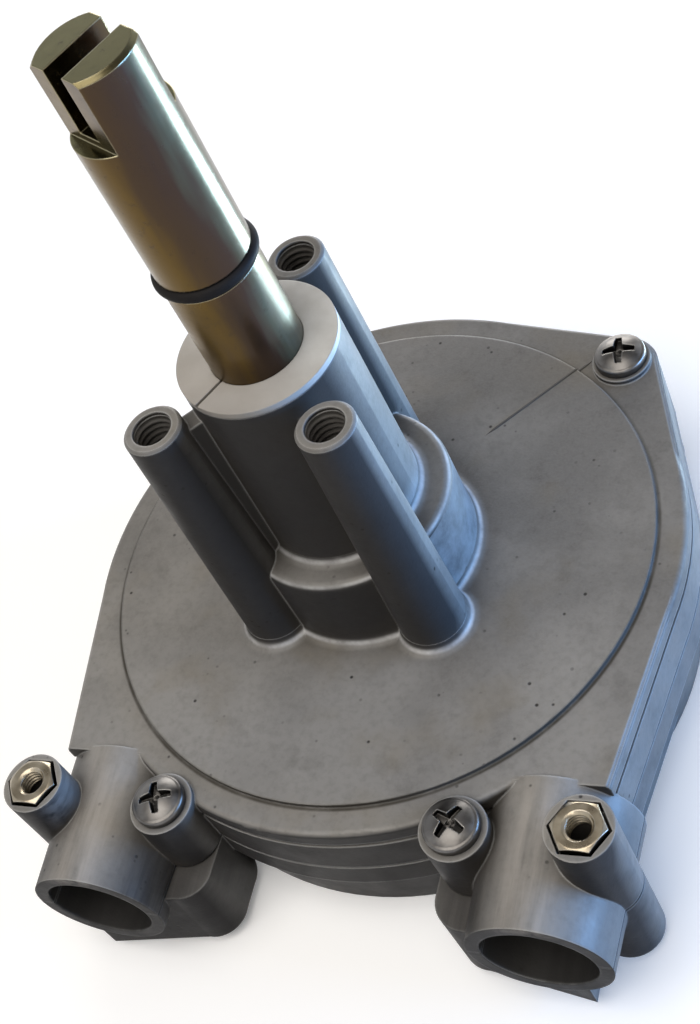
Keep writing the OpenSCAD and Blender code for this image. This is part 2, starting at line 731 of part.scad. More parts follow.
module carrier_plate() {
    color([0.62, 0.60, 0.56]) difference() {
        translate([0, 0, z_carrier]) tube(carrier_r, carrier_in_r, carrier_t);
        for (a = planet_angles) rotate([0, 0, a]) translate([planet_orbit, 0, z_carrier - bite])
            cylinder(r = pin_end_r + fit_gap, h = carrier_t + 2 * bite);
    }
}

module pilot_bush() {
    color([0.76, 0.58, 0.32]) translate([0, 0, z_floor + journal_foot])
        tube(pilot_bush_r, pilot_r + running_gap, z_web_top - z_floor - journal_foot);
}

module drum_bush() {
    color([0.76, 0.58, 0.32]) translate([0, 0, z_floor]) tube(drum_bush_r, journal_r + running_gap, boss_h);
}

module drum_washer() {
    color([0.75, 0.60, 0.35]) translate([0, 0, z_boss]) tube(boss_r, journal_r + face_gap, washer_t);
}

module cable_guide() {
    color([0.15, 0.15, 0.16]) rotate([0, 0, guide_start]) rotate_extrude(angle = 180 - 2 * guide_start)
        difference() {
            translate([cable_x + guide_inset, z_guide])
                square([guide_w - guide_inset - fit_gap, z_guide_top - z_guide]);
            translate([cable_x, z_cable]) circle(r = cable_r + cable_gap);
        }
}

// Pan head: a disc with a domed top, turned from one profile
module pan_head() {
    rotate_extrude() intersection() {
        square([screw_head_r, screw_head_h]);
        translate([0, screw_head_h - head_dome]) circle(r = head_dome);
    }
}

module cover_screws() {
    color([0.72, 0.71, 0.68]) for (p = screw_xy) translate([p.x, p.y, z_seat]) {
        difference() {
            pan_head();
            for (a = [45, 135]) rotate([0, 0, a])
                translate([-recess_len / 2, -recess_w / 2, screw_head_h - recess_depth])
                    cube([recess_len, recess_w, recess_depth + bite]);
        }
        translate([0, 0, -screw_len]) cylinder(r = screw_r, h = screw_len + bite / 2, $fn = 48);
    }
}

module outlet_nuts() {
    corner_r = nut_flats / 2 / cos(30);
    color([0.80, 0.74, 0.58]) both_sides() translate([lock_x, -lock_y, z_nut]) difference() {
        intersection() {
            cylinder(r = corner_r, h = nut_h, $fn = 6);
            // chamfered corners
            cylinder(r1 = corner_r + nut_h, r2 = nut_flats / 2, h = nut_h);
        }
        translate([0, 0, -bite]) cylinder(r = nut_core_r, h = nut_h + 2 * bite);
    }
}

rear_housing();
front_cover();
joint_gasket();
hub_bush();
lower_bush();
upper_washer();
steering_shaft();
shaft_o_ring();
sun_gear();
planet_gear(0);  // planet_gear_1
planet_gear(1);  // planet_gear_2
planet_gear(2);  // planet_gear_3
ring_gear();
cable_drum();
planet_pins();
carrier_plate();
pilot_bush();
drum_bush();
drum_washer();
cable_guide();
cover_screws();
outlet_nuts();
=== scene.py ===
# %% [markdown]
# # A boat's steering helm
# The helm turns a steering wheel's motion into the pull of a cable. Its solids come ready made: two
# castings, a plated shaft, bushes, screws, nuts and the gears inside. This lesson dresses them. Each
# step says what the piece or finish is on the real helm, how it could be made, and why it is made this way.

import math

import bmesh
import bpy
import numpy as np
from mathutils import Matrix, Vector


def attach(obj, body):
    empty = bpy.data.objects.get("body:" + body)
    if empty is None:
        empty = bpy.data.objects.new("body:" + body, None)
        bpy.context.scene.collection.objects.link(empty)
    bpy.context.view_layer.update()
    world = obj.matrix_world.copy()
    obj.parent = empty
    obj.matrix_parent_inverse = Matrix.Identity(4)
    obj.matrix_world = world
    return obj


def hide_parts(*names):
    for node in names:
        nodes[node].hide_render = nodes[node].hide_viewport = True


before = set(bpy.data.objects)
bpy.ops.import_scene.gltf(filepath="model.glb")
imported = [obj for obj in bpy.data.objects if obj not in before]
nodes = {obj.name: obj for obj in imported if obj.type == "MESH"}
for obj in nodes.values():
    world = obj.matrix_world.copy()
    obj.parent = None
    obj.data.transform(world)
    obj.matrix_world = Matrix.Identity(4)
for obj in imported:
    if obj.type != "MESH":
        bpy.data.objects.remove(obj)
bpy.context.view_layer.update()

# %% [markdown]
# ## Camera
# The photo was taken from above, to the right of the outlets, with the shaft leaning towards the lens. A
# camera can be moved by hand until the view looks right. Here its place, its turn and the point where its
# axis meets the picture were worked out from the shaft, the round plateau, the screws and the columns,
# because a fitted view can be laid over the photo. A long picture side of 1024 pixels on a 36 mm sensor
# gives the lens its focal length.

# %% Camera at the photo's place
MM = 0.001
PICTURE = np.array([700, 1024])
focal_px = 1728.6
axis_px = np.array([314.7, 514.9])
camera_place = Vector((0.15799, -0.20044, 0.33899))
camera_right = Vector((0.90085, 0.25059, -0.35451))
camera_ahead = Vector((-0.43413, 0.51815, -0.73692))
camera_up = camera_right.cross(camera_ahead)

camera_data = bpy.data.cameras.new("photo_camera")
camera_data.sensor_width = 36
camera_data.lens = focal_px * camera_data.sensor_width / PICTURE.max()
camera_data.shift_x = (PICTURE[0] / 2 - axis_px[0]) / PICTURE.max()
camera_data.shift_y = (axis_px[1] - PICTURE[1] / 2) / PICTURE.max()
camera_data.clip_start = 0.01
camera = bpy.data.objects.new("photo_camera", camera_data)
turn = Matrix((camera_right, camera_up, -camera_ahead)).transposed()
camera.matrix_world = Matrix.Translation(camera_place) @ turn.to_4x4()
bpy.context.scene.collection.objects.link(camera)
bpy.context.scene.camera = camera
print("lens in mm:", round(camera_data.lens, 2), "shift:", round(camera_data.shift_x, 4))

# %% [markdown]
# ## Grids, meshes and pieces
# Every new piece is a grid: rows of points that follow a profile, with each row carried around or along
# the piece. Modifiers such as Screw could do some of this, but whole arrays of points keep every size in
# view and reach any shape that a formula can give. One helper joins neighbouring points to quads, and the
# piece then rides on the body that carries it.

# %% Helpers for pieces
MERGE_WITHIN = 1e-7
SHARP_FROM = math.radians(38)


def grid_faces(rows, columns, wrap_rows=False, start=0):
    """Quads between neighbouring points of a grid. Columns always close on themselves, and with
    wrap_rows the last row also joins the first."""
    i = np.arange(rows if wrap_rows else rows - 1)[:, None]
    j = np.arange(columns)[None, :]
    below = (i + 1) % rows
    beside = (j + 1) % columns
    quads = [i * columns + j, i * columns + beside, below * columns + beside, below * columns + j]
    return np.stack(np.broadcast_arrays(*quads), axis=-1).reshape(-1, 4) + start


def new_piece(name, grids, body, wrap_rows=False, replaces=None):
    """One mesh from a list of grids with shape (rows, columns, 3), in millimetres. Points that fall
    together, as at a pole, are merged, and the faces are turned outwards."""
    points = np.concatenate([g.reshape(-1, 3) for g in grids]) * MM
    starts = np.cumsum([0] + [g.shape[0] * g.shape[1] for g in grids])
    faces = np.concatenate([
        grid_faces(g.shape[0], g.shape[1], wrap_rows, s) for g, s in zip(grids, starts)
    ])
    mesh = bpy.data.meshes.new(name)
    mesh.from_pydata(points.tolist(), [], faces.tolist())
    work = bmesh.new()
    work.from_mesh(mesh)
    bmesh.ops.remove_doubles(work, verts=work.verts, dist=MERGE_WITHIN)
    bmesh.ops.recalc_face_normals(work, faces=work.faces)
    work.to_mesh(mesh)
    work.free()
    mesh.shade_smooth()
    mesh.set_sharp_from_angle(angle=SHARP_FROM)
    piece = bpy.data.objects.new(name, mesh)
    bpy.context.scene.collection.objects.link(piece)
    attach(piece, body)
    if replaces:
        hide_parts(replaces)
    print(name, "points:", len(mesh.vertices), "faces:", len(mesh.polygons))
    return piece


print("edges stay sharp from", round(math.degrees(SHARP_FROM)), "degrees")

# %% [markdown]
# ## Curves that the pieces share
# Threads, recesses and fading ends all rise and fall smoothly. Straight ramps could shape them, but they
# leave creases that catch the light. So one s-curve shapes them all, and a thread is that curve repeated
# once a turn.

# %% Helpers for curves
def full_turn(count):
    """Angles of one turn in equal steps, as one row. The last step leads back to the first angle."""
    return np.linspace(0, 2 * math.pi, count, endpoint=False)[None, :]


def smooth_step(x):
    """0 below 0, 1 above 1, and an even s-curve between them."""
    t = np.clip(x, 0, 1)
    return t * t * (3 - 2 * t)


def thread_wave(phase):
    """Height of a rounded V thread, from 0 at the root to 1 at the crest, for a phase in turns."""
    return smooth_step(1 - 2 * np.abs(phase - np.round(phase)))


print("a thread wave over half a turn:", thread_wave(np.linspace(0, 0.5, 5)).round(2))

# %% [markdown]
# ## Cross recess
# Four pan head screws hold the cover, and a screwdriver's tip fits the cross recess in each head. The
# solids have a plain cross. A Boolean could cut one with slanting walls, but it leaves ragged faces. Here
# the recess is a depth that is taken away from the domed head where a point lies inside one of the two arms
# of the cross, so the head stays one clean grid.

# %% Recess depth
RECESS_DEPTH = 2.4
RECESS_SLOPE = 0.35
ARM_HALF_WIDTH = 1.2
ARM_TAPER = 0.14
ARM_SIDE_SOFT = 0.22
ARM_END = 3.8
ARM_END_SOFT = 0.3


def cross_recess(radius, angle, spin):
    """Depth of the recess: each arm is a band about a line through the axis, narrower and shallower
    towards its end. The deeper of the two arms counts."""
    depth = np.zeros(np.broadcast(radius, angle).shape)
    for quarter in (0, math.pi / 2):
        along = np.abs(radius * np.cos(angle - spin - quarter))
        across = np.abs(radius * np.sin(angle - spin - quarter))
        half_width = ARM_HALF_WIDTH - ARM_TAPER * along
        inside = smooth_step((half_width - across) / ARM_SIDE_SOFT)
        inside = inside * smooth_step((ARM_END - along) / ARM_END_SOFT)
        depth = np.maximum(depth, inside * (RECESS_DEPTH - RECESS_SLOPE * along))
    return depth


print("recess depth along one arm in mm:", cross_recess(np.arange(5.0), np.zeros(5), 0.0).round(2))

# %% [markdown]
# ## Cover screws
# The four screws have domed heads with a rounded rim, and a thread below, while the shanks of the solids
# are smooth. Head and thread could be two meshes that touch, but one closed surface is cleaner. So a profile
# runs from the middle of the dome over its rim, under the head and down the thread to the tip, and is
# carried around the screw's axis. Each cross is turned by another angle, as screws are when they are tight.

# %% Screws with cross recess and thread
SCREW_PLACES = [(48.38, 53.73), (-48.38, 53.73), (33.64, -66.59), (-33.64, -66.59)]
SCREW_SEAT = 40.3
SCREW_TURNS = [8, 35, 62, 20]
HEAD_RADIUS = 6.0
HEAD_HEIGHT = 4.0
HEAD_DOME = 9.0
RIM_ROUND = 0.7
UNDER_HEAD = 3.3
SHANK_CORE = 2.55
SHANK_RISE = 0.42
SHANK_END = -26.5


def pan_screw(place, spin):
    """A screw as rows of (radius, height): dome, rounded rim, side, underside, thread and cone tip."""
    angle = full_turn(104)
    flat_radius = HEAD_RADIUS - RIM_ROUND
    top_radius = np.linspace(0, flat_radius, 56)[:, None]
    dome = HEAD_HEIGHT - (HEAD_DOME - np.sqrt(HEAD_DOME**2 - top_radius**2))
    top_height = dome - cross_recess(top_radius, angle, spin)
    rim = np.linspace(0, math.pi / 2, 8)[1:, None]
    edge_height = dome[-1, 0]
    rim_radius = flat_radius + RIM_ROUND * np.sin(rim)
    rim_height = edge_height - RIM_ROUND * (1 - np.cos(rim))
    side = np.array([[HEAD_RADIUS, 0.35], [HEAD_RADIUS - 0.2, 0.0], [UNDER_HEAD, 0.0]])
    thread_height = np.linspace(-0.2, SHANK_END, 150)[:, None]
    thread_radius = SHANK_CORE + SHANK_RISE * thread_wave(thread_height - angle / (2 * math.pi))
    tip = np.array([[2.2, SHANK_END - 0.9], [0.0, SHANK_END - 1.5]])
    radii = [top_radius, rim_radius, side[:, :1], thread_radius, tip[:, :1]]
    heights = [top_height, rim_height, side[:, 1:], thread_height, tip[:, 1:]]
    full = [np.broadcast_to(r, (len(r), angle.size)) for r in radii]
    rise = [np.broadcast_to(h, (len(h), angle.size)) for h in heights]
    radius, height = np.concatenate(full), np.concatenate(rise)
    x = place[0] + radius * np.cos(angle)
    y = place[1] + radius * np.sin(angle)
    return np.stack([x, y, SCREW_SEAT + height], axis=-1)


screws = new_piece(
    "pan_screws",
    [pan_screw(p, math.radians(a)) for p, a in zip(SCREW_PLACES, SCREW_TURNS)],
    "case", replaces="cover_screws",
)

# %% [markdown]
# ## Lock nuts
# A nut sits in a hex pocket beside each outlet and takes the bolt that locks the cable's end. A six-sided
# cylinder with bevelled edges would pass from far off. Here the outer radius follows a hexagon, and a cone
# cuts its corners back, because that leaves the curved edges that every real nut has. The bore carries a
# thread. The grid closes in both directions, so no pole is needed.

# %% Nuts with chamfers and thread
NUT_PLACES = [(61.8, -67.9), (-61.8, -67.9)]
NUT_SEAT = 44.3
NUT_FLATS = 10.0
NUT_HEIGHT = 5.0
NUT_BORE = 2.95
NUT_THREAD = 0.48
NUT_MOUTH = 3.25
NUT_CONE_FROM = 0.96 * NUT_FLATS / 2
NUT_CONE = math.radians(32)


def hex_nut(place):
    """Rows of (radius, height): up the threaded bore, out over the top, down the flats and back under.
    The hexagon's radius is half the flats over the cosine of the angle to the nearest flat."""
    angle = full_turn(192)
    to_flat = np.mod(angle, math.pi / 3) - math.pi / 6
    corner = NUT_FLATS / 2 / np.cos(to_flat)
    bore_height = np.linspace(0.5, NUT_HEIGHT - 0.5, 64)[:, None]
    bore_radius = NUT_BORE - NUT_THREAD * thread_wave(bore_height - angle / (2 * math.pi))
    share = np.linspace(0, 1, 18)[:, None]
    top_radius = NUT_MOUTH + share * (corner - NUT_MOUTH)
    drop = np.maximum(0, top_radius - NUT_CONE_FROM) * math.tan(NUT_CONE)
    top_height = NUT_HEIGHT - drop
    under_radius, under_height = top_radius[::-1], drop[::-1]
    radius = np.concatenate([bore_radius, top_radius, under_radius])
    height = np.concatenate([np.broadcast_to(bore_height, bore_radius.shape), top_height, under_height])
    x = place[0] + radius * np.cos(angle)
    y = place[1] + radius * np.sin(angle)
    return np.stack([x, y, NUT_SEAT + height], axis=-1)


nuts = new_piece(
    "lock_nuts", [hex_nut(p) for p in NUT_PLACES],
    "case", wrap_rows=True, replaces="outlet_nuts",
)

# %% [markdown]
# ## Threads in the columns
# The three hollow columns take the bolts that hold the helm behind the dashboard. In the photo their
# mouths are dark, with the first turns of a thread just in view. Bump in the casting's finish could hint at
# a thread, but it would not change the outline of the bore. So each thread is a sleeve: its inner wall
# carries the ridges of a 1.5 mm pitch, and its outer wall lies hidden in the casting.

# %% Thread sleeves
COLUMN_TOP = 109.2
COLUMN_PITCH = 26.2
COLUMN_ANGLES = [90, 224, 316]
SLEEVE_TOP = 0.9
SLEEVE_END = 22.0
SLEEVE_BORE = 4.23
SLEEVE_RISE = 0.42
SLEEVE_BACK = 4.7
SLEEVE_PITCH = 1.5


def thread_sleeve(angle_deg):
    """Inner rows go down the bore with a radius that falls at each crest, and outer rows come back up
    behind the wall, so that the sleeve is closed."""
    angle = full_turn(72)
    depth = np.linspace(SLEEVE_TOP, SLEEVE_END, 150)[:, None]
    run_in = smooth_step((depth - SLEEVE_TOP) / SLEEVE_PITCH)
    crest = thread_wave(depth / SLEEVE_PITCH + angle / (2 * math.pi)) * run_in
    inner = SLEEVE_BORE - SLEEVE_RISE * crest
    outer_depth = np.array([[SLEEVE_END], [SLEEVE_TOP]])
    radius = np.concatenate([inner, np.full((2, angle.size), SLEEVE_BACK)])
    down = np.concatenate([depth, outer_depth])
    aim = math.radians(angle_deg)
    x = COLUMN_PITCH * math.cos(aim) + radius * np.cos(angle)
    y = COLUMN_PITCH * math.sin(aim) + radius * np.sin(angle)
    return np.stack([x, y, np.broadcast_to(COLUMN_TOP - down, radius.shape)], axis=-1)


threads = new_piece(
    "column_threads", [thread_sleeve(a) for a in COLUMN_ANGLES], "case", wrap_rows=True
)

# %% [markdown]
# ## Casting seam on the plateau
# A thin raised line runs from the hub's foot to the upper right screw, where metal met in the mould, and it
# is dark. A dark line in the finish would look painted on, so it is a low rounded rib that catches the
# light. It fades at both ends, and it follows the surface down the step at the plateau's edge.

# %% Seam rib
SEAM_FROM = np.array([19.2, 32.0])
SEAM_TO = np.array([42.0, 55.6])
PLATEAU = 40.0
PLATEAU_RADIUS = 63.9
STEP_DOWN = 1.0
STEP_RUN = 0.3
SEAM_HALF_WIDTH = 0.38
SEAM_RISE = 0.16
SEAM_FADE = 0.12


def seam_rib():
    """An ellipse as cross-section, half sunk, carried along a straight line, with a width and a height
    that grow from nothing at one end and shrink again at the other. The line drops by the step where its
    distance from the shaft's axis passes the plateau's radius."""
    along = np.linspace(0, 1, 160)[:, None]
    around = full_turn(20)
    swell = smooth_step(along / SEAM_FADE) * smooth_step((1 - along) / SEAM_FADE)
    direction = (SEAM_TO - SEAM_FROM) / np.linalg.norm(SEAM_TO - SEAM_FROM)
    across = SEAM_HALF_WIDTH * swell * np.cos(around)
    rise = SEAM_RISE * swell * np.sin(around)
    line = SEAM_FROM + along * (SEAM_TO - SEAM_FROM)
    past_step = np.linalg.norm(line, axis=1, keepdims=True) - PLATEAU_RADIUS
    drop = STEP_DOWN * smooth_step(past_step / STEP_RUN)
    x = line[:, :1] - across * direction[1]
    y = line[:, 1:] + across * direction[0]
    return np.stack([x, y, PLATEAU - drop + rise], axis=-1)


seam = new_piece("plateau_seam", [seam_rib()], "case")

# %% [markdown]
# ## Node helpers
# Each finish is a tree of nodes. A tree can be drawn by hand in the Shader Editor, but one of fifty nodes is
# easier to read as lines of code that name each step. So these helpers start a material, add a node with its
# links, and feed the results to the shader.

# %% Helpers that add nodes
def new_finish(name, metallic, roughness):
    """A material with one Principled shader, and the object coordinates that its patterns read."""
    material = bpy.data.materials.new(name)
    material.use_nodes = True
    tree = material.node_tree
    shader = tree.nodes["Principled BSDF"]
    shader.inputs["Metallic"].default_value = metallic
    shader.inputs["Roughness"].default_value = roughness
    coords = tree.nodes.new("ShaderNodeTexCoord").outputs["Object"]
    return material, tree, shader, coords


def put(tree, socket, value):
    """Links a socket to another one, or sets its value. A colour gets its fourth number here."""
    if isinstance(value, bpy.types.NodeSocket):
        tree.links.new(value, socket)
    elif socket.type == "RGBA":
        socket.default_value = (*value, 1)
    else:
        socket.default_value = value


def add(tree, kind, inputs=None, **settings):
    """A node with its settings and its input values or links."""
    node = tree.nodes.new(kind)
    for key, value in settings.items():
        setattr(node, key, value)
    for key, value in (inputs or {}).items():
        put(tree, node.inputs[key], value)
    return node


def feed(tree, shader, values):
    """Sets or links the shader's sockets by their names."""
    for name, value in values.items():
        put(tree, shader.inputs[name], value)


print("node helpers:", [f.__name__ for f in (new_finish, put, add, feed)])

# %% [markdown]
# ## Calculating with nodes
# The masks below need sums, products and distances. Each is a Math or a Vector Math node, and a Map Range
# node turns any value into a share between 0 and 1. Short helpers keep a formula on one line, where links
# drawn by hand would hide it.

# %% Helpers that calculate
def maths(tree, operation, first, second=0.0):
    """One step of arithmetic on values."""
    return add(tree, "ShaderNodeMath", {0: first, 1: second}, operation=operation).outputs["Value"]


def times(tree, first, second):
    """Product of two values."""
    return maths(tree, "MULTIPLY", first, second)


def vector(tree, operation, first, second=(0.0, 0.0, 0.0)):
    """One step of arithmetic on vectors. Some operations give a value, and the others a vector."""
    node = add(tree, "ShaderNodeVectorMath", {0: first, 1: second}, operation=operation)
    gives_value = operation in ("DOT_PRODUCT", "LENGTH", "DISTANCE")
    return node.outputs["Value" if gives_value else "Vector"]


def axes(tree, value):
    """The X, Y and Z of a vector."""
    return add(tree, "ShaderNodeSeparateXYZ", {0: value}).outputs


def spread(tree, value, low, high, to_low=0.0, to_high=1.0):
    """Stretches the part of a value between low and high to a new range, and clamps the rest."""
    inputs = {"Value": value, "From Min": low, "From Max": high, "To Min": to_low, "To Max": to_high}
    return add(tree, "ShaderNodeMapRange", inputs).outputs["Result"]


def blend(tree, share, first, second):
    """Mixes two colours by a share. A Mix node for colours reads them from its sockets 6 and 7."""
    return add(tree, "ShaderNodeMix", {0: share, 6: first, 7: second}, data_type="RGBA").outputs[2]


print("calculating helpers:", [f.__name__ for f in (maths, times, vector, axes, spread, blend)])

# %% [markdown]
# ## Patterns, edges and corners
# Real surfaces are uneven: their tone drifts and their edges are worn bright. Their corners are darkened
# here with painted shade. Painted textures could show all that, but they need unwrapped meshes and have a
# fixed fineness. Noise, Bevel and Ambient Occlusion nodes find the same places on any mesh. All patterns
# read Object coordinates, in metres, so a noise scale of 1000 has features of about a millimetre.

# %% Helpers for patterns
EDGE_FROM = 0.99
EDGE_FULL = 0.86
NODE_SAMPLES = 6


def noise(tree, coords, scale, detail=3.0, rough=0.55, stretch=None):
    """Noise from 0 to 1. Stretch scales the coordinates along X, Y and Z first."""
    if stretch:
        coords = add(tree, "ShaderNodeMapping", {"Vector": coords, "Scale": stretch}).outputs["Vector"]
    inputs = {"Vector": coords, "Scale": scale, "Detail": detail, "Roughness": rough}
    return add(tree, "ShaderNodeTexNoise", inputs).outputs["Fac"]


def surface_normal(tree):
    """The direction in which the surface faces."""
    return add(tree, "ShaderNodeNewGeometry").outputs["Normal"]


def soft_edges(tree, radius):
    """Normals that round every edge by a radius, and a mask that is 1 where they leave the surface's own."""
    rounded = add(tree, "ShaderNodeBevel", {"Radius": radius}, samples=NODE_SAMPLES).outputs["Normal"]
    same = vector(tree, "DOT_PRODUCT", rounded, surface_normal(tree))
    return rounded, spread(tree, same, EDGE_FROM, EDGE_FULL)


def relief(tree, height, strength, depth, normal):
    """Bump of a given depth in metres on top of a normal."""
    inputs = {"Height": height, "Strength": strength, "Distance": depth, "Normal": normal}
    return add(tree, "ShaderNodeBump", inputs).outputs["Normal"]


def crevices(tree, reach):
    """1 in the open and 0 deep in a corner."""
    inputs = {"Distance": reach}
    return add(tree, "ShaderNodeAmbientOcclusion", inputs, samples=NODE_SAMPLES).outputs["AO"]


print("an edge counts in full at a turn of", round(math.degrees(math.acos(EDGE_FULL))), "degrees")

# %% [markdown]
# ## Painted shade and highlights on the castings
# The case is bare die-cast alloy. Its upright faces on the front and the left are darkened with painted
# shade, and the rounded foot and shoulder of the hub carry painted highlights. Masks for this could be
# painted by hand,
# but a simple rule says where both lie: the direction in which a face looks, and its place. So the masks are
# worked out from the normal and the coordinates, and follow the solids wherever their faces lie.

# %% Masks for painted shade and highlights
# The side turned from the light: upright faces that look this way get painted shade.
SHADED_SIDE = (-0.50, -0.87, 0.0)
UPRIGHT = (0.88, 0.30)
SIDE_SHADE_FROM = -0.52
SIDE_SHADE_FULL_ON_CASE = 0.20
SIDE_SHADE_FULL_ON_HUB = -0.10
HUB_FOOT = (0.040, 0.046)
FLAT = (1.0, 1.0, 0.0)
SLANT_BEGINS = (0.45, 0.65)
SLANT_ENDS = (0.90, 0.76)
LOOKS_RIGHT = (0.60, 0.90, 0.0, 0.5)
ROUND_WALL = (0.97, 0.99)
COLLAR_BACK = (-0.014, -0.010)
HIGHLIGHT_BOTTOM = (0.0398, 0.0404)
HIGHLIGHT_TOP = (0.068, 0.064)


def shaded_sides(tree, coords):
    """Painted shade: 1 on upright faces that look towards the side turned from the light, and 0 on flat
    faces and on other sides. On the hub, above the plateau, the shade reaches further round than on the
    case."""
    normal = surface_normal(tree)
    height = axes(tree, coords)["Z"]
    full = spread(tree, height, *HUB_FOOT, SIDE_SHADE_FULL_ON_CASE, SIDE_SHADE_FULL_ON_HUB)
    side = vector(tree, "DOT_PRODUCT", normal, SHADED_SIDE)
    upright = spread(tree, axes(tree, normal)["Z"], *UPRIGHT)
    return times(tree, upright, spread(tree, side, SIDE_SHADE_FROM, full))


def fillet_highlights(tree, coords):
    """Painted highlights: 1 on slanting faces at the foot and the shoulder of the hub, and up to a half on
    the collar's right side, where the wall looks straight away from the shaft's axis."""
    normal = surface_normal(tree)
    looks = axes(tree, normal)
    place = axes(tree, coords)
    slant = times(tree, spread(tree, looks["Z"], *SLANT_BEGINS), spread(tree, looks["Z"], *SLANT_ENDS))
    outward = vector(tree, "NORMALIZE", vector(tree, "MULTIPLY", coords, FLAT))
    radial = vector(tree, "DOT_PRODUCT", normal, outward)
    right = times(tree, spread(tree, looks["X"], *LOOKS_RIGHT), spread(tree, radial, *ROUND_WALL))
    right = times(tree, right, spread(tree, place["Y"], *COLLAR_BACK))
    band = times(tree, spread(tree, place["Z"], *HIGHLIGHT_BOTTOM), spread(tree, place["Z"], *HIGHLIGHT_TOP))
    return times(tree, maths(tree, "MAXIMUM", slant, right), band)


print("painted_highlight in mm above the rear face:", [round(v / MM, 1) for v in (HIGHLIGHT_BOTTOM[0], HIGHLIGHT_TOP[0])])

# %% [markdown]
# ## Painted shadow in the step and painted shade in the outlets
# A dark line of painted shadow lies in the step around the plateau, and painted shade blackens the insides
# of the two outlets. Ambient Occlusion finds every corner alike, but these two are darker than the rest. A
# distance
# tells them apart: the step lies at one radius from the shaft's axis, and the shaded bores within one radius
# of each outlet's axis. The sign of X is dropped, so one formula serves both outlets.

# %% Masks for painted shadow and shade
STEP_RADIUS = 0.0642
STEP_WIDTH = (0.0008, 0.0003)
STEP_HEIGHT = (0.0385, 0.0388)
STEP_FRONT = (0.035, 0.0, 0.25, 1.0)
OUTLET_AXIS = (0.0507, 0.0, 0.024)
OUTLET_BORE = (0.01235, 0.0121)
OUTLET_START = (-0.050, -0.054)


def step_shadow_ring(tree, coords, smudges):
    """Painted shadow: 1 in the step around the front of the plateau, broken up by the smudges."""
    radius = vector(tree, "LENGTH", vector(tree, "MULTIPLY", coords, FLAT))
    away = maths(tree, "ABSOLUTE", maths(tree, "SUBTRACT", radius, STEP_RADIUS))
    place = axes(tree, coords)
    ring = times(tree, spread(tree, away, *STEP_WIDTH), spread(tree, place["Z"], *STEP_HEIGHT))
    ring = times(tree, ring, spread(tree, place["Y"], *STEP_FRONT))
    return times(tree, ring, spread(tree, smudges, 0.30, 0.55, 0.55, 0.95))


def shaded_bores(tree, coords):
    """Painted shade: 1 inside the two outlets, within their radius from their axes, and 0 elsewhere."""
    place = axes(tree, coords)
    across = maths(tree, "ABSOLUTE", place["X"])
    spot = add(tree, "ShaderNodeCombineXYZ", {"X": across, "Z": place["Z"]}).outputs["Vector"]
    away = vector(tree, "DISTANCE", spot, OUTLET_AXIS)
    return times(tree, spread(tree, away, *OUTLET_BORE), spread(tree, place["Y"], *OUTLET_START))


print("radius of step_shadow and bore_shading in mm:", [round(v / MM, 1) for v in (STEP_RADIUS, OUTLET_BORE[0])])

# %% [markdown]
# ## Painted light on the outlets
# The crests of the outlets carry a painted highlight in streaks, and their sides that turn away from the
# window carry painted shade. Two noises could break up the two masks, but then shade and highlight would lie
# over each other at random. One noise, stretched along the outlets, serves both, so that they share the same
# streaks.

# %% Masks for the outlets' painted shade and highlight
STREAK_STRETCH = (1.0, 0.10, 1.0)
OUTLET_INNER = (0.022, 0.030)
OUTLET_FRONT = (-0.050, -0.060)
RIGHT_HALF = (-0.01, 0.01)
TURNED_AWAY = (0.40, 0.05, 0.4, 1.0)
LOW_SIDE = (0.0395, 0.0335)
STEEP = (0.5, 0.2)
CREST_WIDTH = (0.0085, 0.0030)
CREST_HEIGHT = (0.0350, 0.0385)


def outlet_painted_light(tree, coords):
    """Two masks for the outlets, both broken up by streaks along them: painted shade on the sides that turn
    away from the window, and a painted highlight along the crests."""
    place = axes(tree, coords)
    looks = axes(tree, surface_normal(tree))
    across = maths(tree, "ABSOLUTE", place["X"])
    front = times(tree, spread(tree, across, *OUTLET_INNER), spread(tree, place["Y"], *OUTLET_FRONT))
    streaks = noise(tree, coords, 420, 3, 0.6, STREAK_STRETCH)
    lit = times(tree, looks["X"], spread(tree, place["X"], *RIGHT_HALF))
    low = spread(tree, place["Z"], *LOW_SIDE)
    reach = maths(tree, "MAXIMUM", low, spread(tree, looks["Z"], *STEEP))
    shaded = times(tree, spread(tree, lit, *TURNED_AWAY), reach)
    grime_and_shade = times(tree, times(tree, front, shaded), spread(tree, streaks, 0.25, 0.60, 0.55, 0.85))
    aside = maths(tree, "ABSOLUTE", maths(tree, "SUBTRACT", across, OUTLET_AXIS[0]))
    crest = times(tree, spread(tree, aside, *CREST_WIDTH), spread(tree, place["Z"], *CREST_HEIGHT))
    crest = times(tree, times(tree, front, crest), spread(tree, streaks, 0.30, 0.60))
    return grime_and_shade, crest


print("streaks are", round(1 / STREAK_STRETCH[1]), "times as long as they are wide")

# %% [markdown]
# ## Die-cast metal
# Bare die-cast alloy is a satin grey with cloudy patches where the mould was warmer, fine grain, small pits,
# brownish grime and brighter metal along its edges. A picture of metal could be wrapped around the case, but
# it would repeat and show its seams. So the tone is laid on in layers: clouds, grime, grain and tan stains,
# then the painted shade, shadow and highlights of the masks above, painted shade in the corners, and last
# the painted highlights on the hub and the worn bright edges. Cell centres give the pits, which also sink
# into the relief.

# %% Patterns of the castings
PIT_CELLS = 330.0
# Painted light: the clouds grow lighter towards the front, where more light falls.
LIT_FRONT = (0.05, -0.055, -0.14, 0.14)


def casting_pits(tree, coords):
    """1 near the centres of cells of about 3 mm, in some patches of the surface only."""
    cells = add(tree, "ShaderNodeTexVoronoi", {"Vector": coords, "Scale": PIT_CELLS}).outputs["Distance"]
    patches = spread(tree, noise(tree, coords, 75, 3), 0.52, 0.62)
    return times(tree, spread(tree, cells, 0.17, 0.08), patches)


